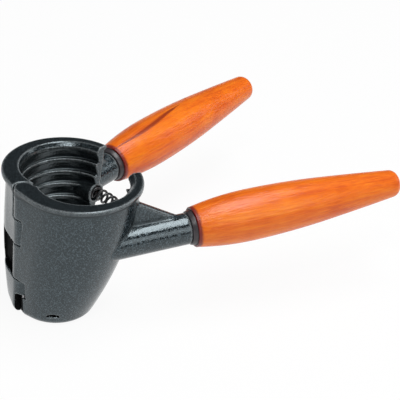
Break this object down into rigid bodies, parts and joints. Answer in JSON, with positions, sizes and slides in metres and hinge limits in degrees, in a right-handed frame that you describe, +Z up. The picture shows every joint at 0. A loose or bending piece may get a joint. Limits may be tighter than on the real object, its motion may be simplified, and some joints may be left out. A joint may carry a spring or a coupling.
{
  "type": "funnel nut cracker",
  "caption": "Hand nut cracker: two half-cup jaws with stepped ribs inside, hinged on one upright pin, sprung open, each with an arm and a turned wooden grip.",
  "frame": {"origin": "centre of the hinge pin's lower end, in the plane the cup stands on", "axes": "+Z up along the hinge pin, towards the rim of the cup; +X from the hinge between the two grips; +Y towards the back jaw"},
  "size_m": [0.1838, 0.1344, 0.0672],
  "materials": {
    "casting": "dark grey hammered enamel on a rough casting",
    "collar_enamel": "smooth dark gloss, turned ring",
    "pin_steel": "plain turned steel",
    "spring_steel": "black oiled spring wire",
    "grip_wood": "orange brown lacquer, glossy"
  },
  "bodies": {
    "front": {"front_jaw": "casting", "hinge_pin": "pin_steel", "opening_spring": "spring_steel", "front_stud": "pin_steel", "front_collar": "collar_enamel", "front_grip": "grip_wood"},
    "back": {"back_jaw": "casting", "back_stud": "pin_steel", "back_collar": "collar_enamel", "back_grip": "grip_wood"}
  },
  "joints": [
    {"name": "jaw_hinge", "type": "hinge", "parent": "front", "child": "back", "pos_m": [0, 0, 0], "axis": [0, 0, 1], "range_deg": [-30.4, 0], "stiffness_Nm_per_rad": 0.8, "springref_deg": 11.46, "deforming": ["opening_spring"]}
  ]
}
